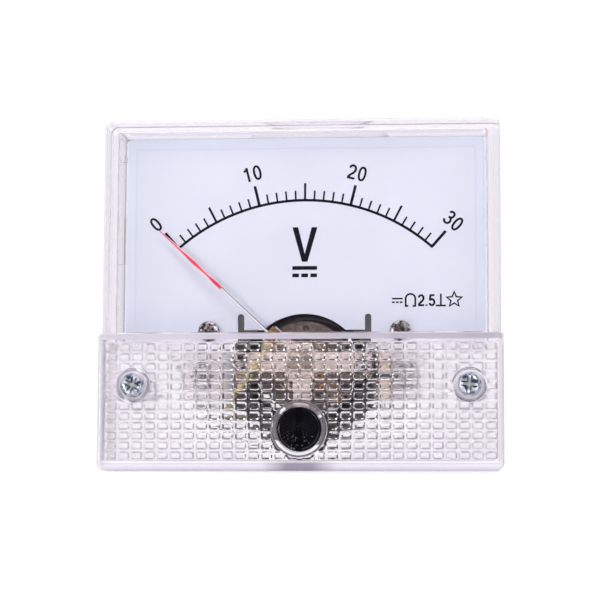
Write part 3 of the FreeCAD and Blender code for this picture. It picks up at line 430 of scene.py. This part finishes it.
by_slot = {s["node"]: s.get("material_slot") for s in frame["record"]["subparts"]}
special = {"cover_screws": "zinc_cross"}
for name, o in nodes.items():
    key = special.get(name, by_slot.get(name))
    mat = M[key]
    if not o.data.materials:
        o.data.materials.append(mat)
    for i in range(len(o.data.materials)):
        o.data.materials[i] = mat
    for slot in o.material_slots:
        slot.material = mat


# ---------------------------------------------------------------- mesh helpers
def new_object(name, verts, faces, mat, body="root", smooth=False):
    me = bpy.data.meshes.new(name)
    me.from_pydata([Vector(v) * MM for v in verts], [], faces)
    me.validate()
    me.materials.append(mat)
    if smooth:
        for p in me.polygons:
            p.use_smooth = True
    o = bpy.data.objects.new(name, me)
    bpy.context.scene.collection.objects.link(o)
    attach(o, body)
    return o


class Print:
    """Flat ink shapes a few microns thick on the dial's face."""

    def __init__(self, y_face, thick):
        self.v, self.f = [], []
        self.y0, self.y1 = y_face + 0.002, y_face - thick

    def strip(self, left, right, closed=False):
        """A ribbon between two rows of points, as a closed thin solid."""
        n = len(left)
        b = len(self.v)
        for (lx, lz), (rx, rz) in zip(left, right):
            self.v += [(lx, self.y1, lz), (rx, self.y1, rz), (lx, self.y0, lz), (rx, self.y0, rz)]
        last = n if closed else n - 1
        for i in range(last):
            j = (i + 1) % n
            p, q = b + 4 * i, b + 4 * j
            self.f += [(p, p + 1, q + 1, q), (p + 2, q + 2, q + 3, p + 3), (p, q, q + 2, p + 2), (p + 1, p + 3, q + 3, q + 1)]
        if not closed:
            p, q = b, b + 4 * (n - 1)
            self.f += [(p, p + 2, p + 3, p + 1), (q, q + 1, q + 3, q + 2)]

    def stroke(self, pts, w, closed=False):
        n = len(pts)
        L, R = [], []
        for i, (x, z) in enumerate(pts):
            if closed:
                a0, a1 = pts[(i - 1) % n], pts[(i + 1) % n]
            else:
                a0, a1 = pts[max(i - 1, 0)], pts[min(i + 1, n - 1)]
            if closed or 0 < i < n - 1:
                d0 = Vector((x - a0[0], z - a0[1])).normalized()
                d1 = Vector((a1[0] - x, a1[1] - z)).normalized()
                t = (d0 + d1).normalized()
                k = 1.0 / max(0.5, math.sqrt(max(0.0, (1 + d0.dot(d1)) / 2)))
            else:
                t = Vector((a1[0] - a0[0], a1[1] - a0[1])).normalized()
                k = 1.0
            nx, nz = -t.y * k * w / 2, t.x * k * w / 2
            L.append((x + nx, z + nz))
            R.append((x - nx, z - nz))
        self.strip(L, R, closed)


def arc(cx, cz, rx, rz, a0, a1, n=18, power=1.0):
    out = []
    for i in range(n + 1):
        t = math.radians(a0 + (a1 - a0) * i / n)
        c, s = math.cos(t), math.sin(t)
        out.append((cx + rx * math.copysign(abs(c) ** power, c), cz + rz * math.copysign(abs(s) ** power, s)))
    return out


def smooth_path(pts, n=6):
    """Catmull-Rom through the points."""
    P = [pts[0]] + list(pts) + [pts[-1]]
    out = []
    for i in range(1, len(P) - 2):
        p0, p1, p2, p3 = P[i - 1], P[i], P[i + 1], P[i + 2]
        for k in range(n):
            t = k / n
            out.append(tuple(0.5 * (2 * p1[j] + (p2[j] - p0[j]) * t + (2 * p0[j] - 5 * p1[j] + 4 * p2[j] - p3[j]) * t * t
                                    + (3 * p1[j] - p0[j] - 3 * p2[j] + p3[j]) * t ** 3) for j in (0, 1)))
    out.append(pts[-1])
    return out


def glyph(ch):
    """(strokes, closed flags) of a narrow grotesque figure, one unit high, centred on x = 0, for a stroke of 0.12."""
    if ch == "0":
        return [(arc(0, 0.5, 0.205, 0.44, 90, 450, 40, 0.88)[:-1], True)]
    if ch == "1":
        return [([(0.055, 0.0), (0.055, 1.0)], False), (smooth_path([(0.04, 0.93), (-0.05, 0.82), (-0.185, 0.735)], 5), False)]
    if ch == "2":
        top = arc(0, 0.70, 0.205, 0.24, 172, -22, 20)
        rest = smooth_path([top[-1], (0.115, 0.465), (-0.055, 0.30), (-0.175, 0.155), (-0.205, 0.062)], 5)
        return [(top + rest[1:], False), ([(-0.262, 0.06), (0.262, 0.06)], False)]
    if ch == "3":
        return [(arc(0, 0.735, 0.185, 0.205, 168, -84, 20), False), (arc(0, 0.29, 0.215, 0.23, 84, -168, 24), False), ([(-0.075, 0.523), (0.03, 0.523)], False)]
    if ch == "5":
        return [([(-0.145, 0.94), (0.225, 0.94)], False), ([(-0.125, 0.99), (-0.185, 0.47)], False), (arc(0, 0.325, 0.21, 0.265, 146, -166, 24), False)]
    if ch == ".":
        return [([(0.0, 0.0), (0.0, 0.13)], False)]
    raise ValueError(ch)


def figures(pr, text, cx, cz, height, deg, w, advance=0.70):
    """Upright text centred on (cx, cz), leaning deg clockwise."""
    widths = [0.34 if ch == "." else advance for ch in text]
    x = -sum(widths) / 2
    a = math.radians(deg)
    for ch, wd in zip(text, widths):
        mid = x + wd / 2
        x += wd
        for pts, closed in glyph(ch):
            q = []
            for px, pz in pts:
                u, v = (px + mid) * height, (pz - 0.5) * height
                q.append((cx + u * math.cos(a) + v * math.sin(a), cz - u * math.sin(a) + v * math.cos(a)))
            pr.stroke(q, w, closed)


# ------------------------------------------------------------------ dial print
pr = Print(DIAL_FACE, 0.014)
ARC_R, ARC_CZ, ARC_END = 31.1, -15.1, 41.25
pts_o = [((ARC_R + 0.0) * math.sin(math.radians(t)), ARC_CZ + (ARC_R + 0.0) * math.cos(math.radians(t))) for t in [-ARC_END - 0.35 + (2 * ARC_END + 0.7) * i / 120 for i in range(121)]]
pr.stroke(pts_o, 0.43)
for i in range(31):
    t = math.radians(-ARC_END + 2 * ARC_END * i / 30)
    ln, w = (3.35, 0.46) if i % 10 == 0 else (2.8, 0.36) if i % 5 == 0 else (1.62, 0.29)
    pr.stroke([(r * math.sin(t), ARC_CZ + r * math.cos(t)) for r in (ARC_R + 0.1, ARC_R + ln)], w)
NUM = 2.38
figures(pr, "0", -24.27, 12.25, NUM, -41, 0.36)
figures(pr, "10", -8.62, 20.4, NUM, -14, 0.36)
figures(pr, "20", 8.45, 20.4, NUM, 14, 0.36)
figures(pr, "30", 23.94, 12.45, NUM, 41, 0.36)
# unit mark: V with the direct-current sign
vt, vb = 11.6, 5.98
for s in (-1, 1):
    pr.strip([(s * 2.03, vt), (s * 0.45, vb)], [(s * 1.10, vt), (0.0, vb + 1.25)])
pr.strip([(-0.45, vb), (0.0, vb)], [(0.0, vb + 1.25), (0.0, vb + 1.25)])
pr.strip([(0.45, vb), (0.0, vb)], [(0.0, vb + 1.25), (0.0, vb + 1.25)])
pr.stroke([(-2.0, 4.965), (2.0, 4.965)], 0.62)
for x0, x1 in ((-2.0, -0.92), (-0.55, 0.55), (0.92, 2.0)):
    pr.stroke([(x0, 3.76), (x1, 3.76)], 0.60)
# row of instrument symbols: direct current, moving coil, class 2.5, upright mounting, insulation test
pr.stroke([(14.08, -0.10), (15.8, -0.10)], 0.26)
for x0, x1 in ((14.08, 14.54), (14.71, 15.17), (15.34, 15.8)):
    pr.stroke([(x0, -0.68), (x1, -0.68)], 0.27)
pr.stroke([(16.72, -1.29), (16.28, -1.29)] + [(16.28, -0.1)] + arc(17.05, -0.1, 0.77, 0.75, 180, 0, 16)[1:] + [(17.82, -1.29), (17.38, -1.29)], 0.29)
figures(pr, "2.5", 19.62, -0.38, 1.83, 0, 0.335, 0.60)
pr.stroke([(21.1, -1.25), (22.72, -1.25)], 0.28)
pr.stroke([(21.91, -1.25), (21.91, 0.68)], 0.28)
star = []
for k in range(10):
    rr = 1.27 if k % 2 == 0 else 0.56
    t = math.radians(36 * k)
    star.append((24.05 + rr * math.sin(t), -0.30 + rr * math.cos(t)))
pr.stroke(star, 0.25, closed=True)
new_object("dial_print", pr.v, pr.f, INK)


# ------------------------------------------------------------- clear cover
# The cover keeps its solid's shape. Its prismatic lattice gets softly rounded pads, and a hair's gap
# parts it from the base, as between any two mouldings.
GX, GZ0, GZ1, NX, NZ, INNER = 31.0, -26.3, -7.7, 30, 12, -12.0
PITCH_X, PITCH_Z = 2 * GX / NX, (GZ1 - GZ0) / NZ
STEEP, EASY, FLAT, PAD_R, GROOVE_D, DOME = 0.28, 0.28, 0.12, 0.09, 0.275, 0.02
ROUNDS = [(-26.6, -14.45, 2.75, 2.85, 0.35), (26.6, -14.45, 2.75, 2.85, 0.35), (0.0, ADJ_Z, 1.65, 4.5, 0.25)]
Z_LO, Z_HI, CORNER = -26.4, -7.6, 0.9


def stops(first, pitch, count, fine):
    """Grid lines of one direction: close together in the grooves, and all over the cells that fine names."""
    out = []
    for i in range(count):
        a = first + i * pitch
        if any(a + pitch > lo and a < hi for lo, hi in fine):
            out += [a + pitch * k / 17 for k in range(17)]
        else:
            near, far = FLAT + STEEP, FLAT + EASY
            rest = pitch - near - far
            out += [a + v for v in (0.0, FLAT, FLAT + 0.03, FLAT + STEEP / 2, near - 0.03, near)] + [a + near + rest * f for f in (0.33, 0.67)]
            out += [a + pitch - v for v in (far, far - 0.03, FLAT + EASY / 2, FLAT + 0.03, FLAT)]
    return out + [first + pitch * count]


xs = np.array(stops(-GX, PITCH_X, NX, [(-29.5, -23.7), (23.7, 29.5)]))
zs = np.array([Z_LO, Z_LO + 0.05] + stops(GZ0, PITCH_Z, NZ, [(-17.4, -11.5)]) + [Z_HI - 0.05, Z_HI])
gx, gz = np.meshgrid(xs, zs, indexing="ij")


def ease(t):
    t = np.clip(t, 0, 1)
    return t * t * (3 - 2 * t)


lean = (EASY - STEEP) / 2
half = FLAT + (STEEP + EASY) / 2
u = (gx + GX) % PITCH_X - PITCH_X / 2
w = (gz - GZ0) % PITCH_Z - PITCH_Z / 2
qx, qz = np.abs(u + lean) - (PITCH_X / 2 - half - PAD_R), np.abs(w + lean) - (PITCH_Z / 2 - half - PAD_R)
sd = np.hypot(np.maximum(qx, 0), np.maximum(qz, 0)) + np.minimum(np.maximum(qx, qz), 0) - PAD_R
side = np.clip(0.5 + (np.maximum(qx, 0) ** 2 * np.sign(u + lean) + np.maximum(qz, 0) ** 2 * np.sign(w + lean)) / (2 * (np.maximum(qx, 0) ** 2 + np.maximum(qz, 0) ** 2) + 1e-9), 0, 1)
deep = GROOVE_D * np.clip(sd / (STEEP + (EASY - STEEP) * side), 0, 1) + DOME * ((u / (PITCH_X / 2)) ** 2 + (w / (PITCH_Z / 2)) ** 2) / 2
for cx, cz, r, clear_r, run in ROUNDS:
    deep = deep * ease((np.hypot(gx - cx, gz - cz) - clear_r) / run)
deep = deep * ease((GX - np.abs(gx)) / 0.12) * ease((Z_HI - gz) / 0.1) * ease((gz - Z_LO) / 0.1)
# the patch meets the sleeves and the rounded corners of the hollow
px, pz = gx.copy(), gz.copy()
for cx, cz, r, clear_r, run in ROUNDS:
    d = np.hypot(px - cx, pz - cz)
    near = np.abs(d - r) < 0.075
    px[near] = cx + (px[near] - cx) * r / d[near]
    pz[near] = cz + (pz[near] - cz) * r / d[near]
for sx in (-1, 1):
    for zc, sz in ((Z_HI - CORNER, 1), (Z_LO + CORNER, -1)):
        dx, dz = sx * px - (GX - CORNER), sz * (pz - zc)
        d = np.hypot(dx, dz)
        out = (dx > 0) & (dz > 0) & (d > CORNER)
        px[out] = sx * (GX - CORNER + dx[out] * CORNER / d[out])
        pz[out] = zc + sz * dz[out] * CORNER / d[out]
patch_v = np.stack([px, INNER - deep, pz], -1).reshape(-1, 3)
nx, nz = len(xs), len(zs)
ii, jj = np.meshgrid(np.arange(nx - 1), np.arange(nz - 1), indexing="ij")
a0 = (ii * nz + jj).ravel()
quads = np.stack([a0, a0 + 1, a0 + nz + 1, a0 + nz], -1)
mid = patch_v[quads].mean(1)
keep = np.ones(len(quads), bool)
for cx, cz, r, clear_r, run in ROUNDS:
    keep &= np.hypot(mid[:, 0] - cx, mid[:, 2] - cz) > r
quads = quads[keep]

src = nodes["front_cover"].data
co = np.empty(len(src.vertices) * 3)
src.vertices.foreach_get("co", co)
co = co.reshape(-1, 3) * 1000
tri = [tuple(p.vertices) for p in src.polygons if not all(-12.42 < co[i][1] < -11.98 for i in p.vertices)]
co[co[:, 1] > -2.501, 1] = -2.54
co[(np.abs(co[:, 1] + 8.0) < 0.001) & (np.abs(co[:, 0]) > 20), 1] = -8.03
me = bpy.data.meshes.new("clear_cover")
me.from_pydata([Vector(v) * MM for v in np.vstack([co, patch_v])], [], tri + [tuple(int(i) + len(co) for i in q) for q in quads])
bm = bmesh.new()
bm.from_mesh(me)
bmesh.ops.delete(bm, geom=[v for v in bm.verts if not v.link_faces], context="VERTS")
bmesh.ops.remove_doubles(bm, verts=bm.verts, dist=2e-7)
bmesh.ops.dissolve_degenerate(bm, dist=1e-8, edges=bm.edges)
for f in bm.faces:
    f.smooth = True
bm.to_mesh(me)
bm.free()
me.set_sharp_from_angle(angle=math.radians(38))
me.materials.append(M["clear_case"])
me.materials.append(M["lattice"])
mid = np.empty(len(me.polygons) * 3)
me.polygons.foreach_get("center", mid)
mid = mid.reshape(-1, 3) * 1000
flag = ((mid[:, 1] > INNER - 0.4) & (mid[:, 1] < INNER + 0.01) & (np.abs(mid[:, 0]) < 30.99) & (mid[:, 2] < Z_HI) & (mid[:, 2] > Z_LO)).astype(np.int32)
me.polygons.foreach_set("material_index", flag)
cover = bpy.data.objects.new("clear_cover", me)
bpy.context.scene.collection.objects.link(cover)
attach(cover, "root")
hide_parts("front_cover")

# ------------------------------------------------------------------- pointer
# The same blade, narrowed to nine tenths of its width from 8 mm out, as a drawn-and-folded strip is slimmer than its
# blank.
src = nodes["pointer"].data
me = bpy.data.meshes.new("pointer_blade")
verts = []
sn, cs = math.sin(math.radians(REST_DEG)), math.cos(math.radians(REST_DEG))
for v in src.vertices:
    x, y, z = (k * 1000 for k in v.co)
    dz = z - PIVOT_Z
    run, lat = -x * sn + dz * cs, x * cs + dz * sn
    k = 1.0 if run < 6 else 0.90 if run > 8 else 1.0 - 0.05 * (run - 6)
    lat *= k
    verts.append(Vector((-run * sn + lat * cs, y, PIVOT_Z + run * cs + lat * sn)) * MM)
me.from_pydata(verts, [], [tuple(q.vertices) for q in src.polygons])
me.materials.append(M["pointer_aluminium"])
blade = bpy.data.objects.new("pointer_blade", me)
bpy.context.scene.collection.objects.link(blade)
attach(blade, "moving_coil")
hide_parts("pointer")

# --------------------------------------------------------- painted-shade card on the back: a dark sheet that keeps the magnet gap dark
pts = []
for cx, cz, a0 in ((4.3, 8.3, 0), (-4.3, 8.3, 90), (-4.3, -5.3, 180), (4.3, -5.3, 270)):
    pts += arc(cx, cz, 0.8, 0.8, a0, a0 + 90, 6)
n = len(pts)
v = [(px, 24.005, pz) for px, pz in pts] + [(px, 24.12, pz) for px, pz in pts]
f = [tuple(reversed(range(n))), tuple(range(n, 2 * n))] + [(i, (i + 1) % n, n + (i + 1) % n, n + i) for i in range(n)]
a = Mat("shade_card_film").set(Specular_IOR_Level=0.4)
a.color(a.mixc(a.remap(a.noise(0.8, 4), 0, 1), (0.012, 0.011, 0.012), (0.022, 0.021, 0.022)))
a.rough(a.remap(a.noise(4, 3), 0.35, 0.55))
shade_card = new_object("rear_shade_card", v, f, a.bump(a.noise(5, 3), 0.004).m)

# ------------------------------------------------------------- screw threads
def threaded_rod(name, mat, sections, x, z, seg=28):
    """A rod along Y made of (y0, y1, r0, r1) plain runs and (y0, y1, major, pitch, depth) threaded runs."""
    rows = []
    for sec in sections:
        if len(sec) == 4:
            y0, y1, r0, r1 = sec
            rows += [(y0, lambda th, y, r=r0: r), (y1, lambda th, y, r=r1: r)]
        else:
            y0, y1, major, pitch, depth = sec
            n = max(2, int((y1 - y0) / pitch * 8))

            def r_of(th, y, major=major, pitch=pitch, depth=depth, y0=y0, y1=y1):
                u = (y / pitch - th / (2 * math.pi)) % 1.0
                tri = min(1.0, max(0.0, abs(u - 0.5) * 2.6 - 0.15))
                fade = min(1.0, (y - y0) / pitch, (y1 - y) / pitch)
                return major - depth * (1 - tri) * max(0.0, fade)

            rows += [(y0 + (y1 - y0) * i / n, r_of) for i in range(n + 1)]
    v, f = [], []
    for y, fn in rows:
        for k in range(seg):
            th = 2 * math.pi * k / seg
            r = fn(th, y)
            v.append((x + r * math.cos(th), y, z + r * math.sin(th)))
    for i in range(len(rows) - 1):
        for k in range(seg):
            a0, a1 = i * seg + k, i * seg + (k + 1) % seg
            f.append((a0, a1, a1 + seg, a0 + seg))
    f.append(tuple(range(seg)))
    f.append(tuple(reversed(range((len(rows) - 1) * seg, len(rows) * seg))))
    return v, f


def rods(name, mat, parts):
    v, f = [], []
    for pv, pf in parts:
        b = len(v)
        v += pv
        f += [tuple(i + b for i in q) for q in pf]
    o = new_object(name, v, f, mat)
    for p in o.data.polygons:
        p.use_smooth = len(p.vertices) == 4
    o.data.set_sharp_from_angle(angle=math.radians(50))
    return o


term = rods("terminal_threads", M["brass_stud"], [threaded_rod("t", None, [(16.4, 16.6, 1.6, 1.92), (16.6, 38.5, 1.98, 0.7, 0.40), (38.5, 39.0, 1.9, 1.55)], s * 10.0, 0.0) for s in (-1, 1)])
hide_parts("terminal_studs")
studs = rods("mounting_stud_threads", M["zinc_screw"], [threaded_rod("m", None, [(-2.1, -0.7, 2.6, 2.6), (-0.7, 0.0, 2.0, 2.0), (0.0, 0.6, 1.42, 1.42), (0.6, 11.5, 1.49, 0.5, 0.29), (11.5, 12.0, 1.42, 1.15)], s * 26.6, -14.45) for s in (-1, 1)])
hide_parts("mounting_studs")


# ------------------------------------------------------------- solder joints
def blob(cx, cy, cz, rx, ry, rz, lump=0.0):
    v, f = [], []
    n, m = 12, 20
    for i in range(n + 1):
        th = math.pi * i / n
        for k in range(m):
            ph = 2 * math.pi * k / m
            w = 1 + lump * math.sin(3 * ph + 1.3) * math.sin(th) ** 2
            v.append((cx + rx * w * math.sin(th) * math.cos(ph), cy + ry * math.cos(th) * (1 + lump * math.cos(2 * ph)), cz + rz * w * math.sin(th) * math.sin(ph)))
    for i in range(n):
        for k in range(m):
            a0, a1 = i * m + k, i * m + (k + 1) % m
            f.append((a0, a1, a1 + m, a0 + m))
    return v, f


parts = [blob(s * 10.0, 18.75, -8.1, 1.0, 0.62, 0.95, 0.08) for s in (-1, 1)]
v, f = [], []
for pv, pf in parts:
    b = len(v)
    v += pv
    f += [tuple(i + b for i in q) for q in pf]
joint = new_object("solder_joints", v, f, SOLDER, smooth=True)


# ------------------------------------------------------------------------ stage
floor_me = bpy.data.meshes.new("floor")
FZ = -0.062
n, half = 24, 3.0
fv, ff = [], []
for i in range(n + 1):
    for k in range(n + 1):
        fv.append((-half + 2 * half * i / n, -half + 2 * half * k / n, FZ))
for i in range(n):
    for k in range(n):
        b = i * (n + 1) + k
        ff.append((b, b + n + 1, b + n + 2, b + 1))
floor_me.from_pydata(fv, [], ff)
a = Mat("floor_paper").set(Specular_IOR_Level=0.2)
a.color(a.mixc(a.remap(a.noise(0.01, 3), 0, 1), (0.93, 0.93, 0.935), (0.95, 0.95, 0.955)))
a.rough(a.remap(a.noise(0.3, 3), 0.75, 0.9))
em = a.n("ShaderNodeEmission")
em.inputs[0].default_value = (1, 1, 1, 1)
x, y, z = a.xyz()
a.link(a.remap(y, 0.0, 0.6, 350, 800), em.inputs[1])
ad = a.n("ShaderNodeAddShader")
a.link(a.p.outputs[0], ad.inputs[0])
a.link(em.outputs[0], ad.inputs[1])
a.link(ad.outputs[0], a.out.inputs[0])
floor_me.materials.append(a.m)
floor = bpy.data.objects.new("floor", floor_me)
bpy.context.scene.collection.objects.link(floor)

# ----------------------------------------------------------------------- lights
scene = bpy.context.scene
scene.view_settings.view_transform = "Standard"
scene.view_settings.look = "None"
world = bpy.data.worlds.new("studio")
scene.world = world
world.use_nodes = True
wt = world.node_tree
wt.nodes.clear()
wo = wt.nodes.new("ShaderNodeOutputWorld")
bg = wt.nodes.new("ShaderNodeBackground")
tc = wt.nodes.new("ShaderNodeTexCoord")
sp = wt.nodes.new("ShaderNodeSeparateXYZ")
rm = wt.nodes.new("ShaderNodeMapRange")
rm.inputs["From Min"].default_value = -1.0
rm.inputs["From Max"].default_value = 1.0
tent = wt.nodes.new("ShaderNodeValToRGB")
for _ in range(4):
    tent.color_ramp.elements.new(0.5)
for el, (pos, col) in zip(tent.color_ramp.elements, [(0.0, (0.07, 0.07, 0.08)), (0.02, (0.09, 0.09, 0.10)), (0.06, (0.22, 0.218, 0.24)), (0.2, (0.66, 0.65, 0.69)), (0.47, (0.92, 0.905, 0.945)), (0.62, (1.0, 1.0, 1.0))]):
    el.position = pos
    el.color = (*col, 1)
wt.links.new(tc.outputs["Generated"], sp.inputs[0])
wt.links.new(sp.outputs["Y"], rm.inputs["Value"])
wt.links.new(rm.outputs[0], tent.inputs[0])
wt.links.new(tent.outputs[0], bg.inputs["Color"])
bg.inputs["Strength"].default_value = 1.06
wt.links.new(bg.outputs[0], wo.inputs[0])


def area(name, loc, target, w, h, power, color=(1, 1, 1)):
    d = bpy.data.lights.new(name, "AREA")
    d.shape, d.size, d.size_y, d.energy, d.color = "RECTANGLE", w, h, power, color
    o = bpy.data.objects.new(name, d)
    o.location = loc
    o.rotation_euler = (Vector(target) - Vector(loc)).to_track_quat("-Z", "Y").to_euler()
    scene.collection.objects.link(o)
    return o


area("key_left", (-0.36, -0.60, 0.02), (0, 0, 0), 0.07, 0.08, 0.70)
area("key_right", (0.22, -0.62, 0.26), (0, 0, 0), 0.07, 0.08, 0.70)
area("top", (0.0, 0.05, 0.60), (0, 0, 0), 0.7, 0.5, 1.3)

# ----------------------------------------------------------------------- camera
cam_data = bpy.data.cameras.new("camera")
cam = bpy.data.objects.new("camera", cam_data)
scene.collection.objects.link(cam)
scene.camera = cam
yaw, pitch, roll = 0.082, 0.116, -0.0034
R = Matrix.Rotation(yaw, 3, "Z") @ Matrix.Rotation(pitch, 3, "X") @ Matrix.Rotation(roll, 3, "Y")
right, fwd, up = R.col[0], R.col[1], R.col[2]
rot = Matrix((right, up, -fwd)).transposed()
cam.matrix_world = Matrix.Translation((0.03452, -0.37498, -0.04265)) @ rot.to_4x4()
cam_data.sensor_width = 36.0
cam_data.lens = 2320.2 * 36.0 / 600.0
cam_data.shift_x = -30.34 / 600.0
cam_data.shift_y = -4.91 / 600.0
cam_data.clip_start, cam_data.clip_end = 0.01, 20.0
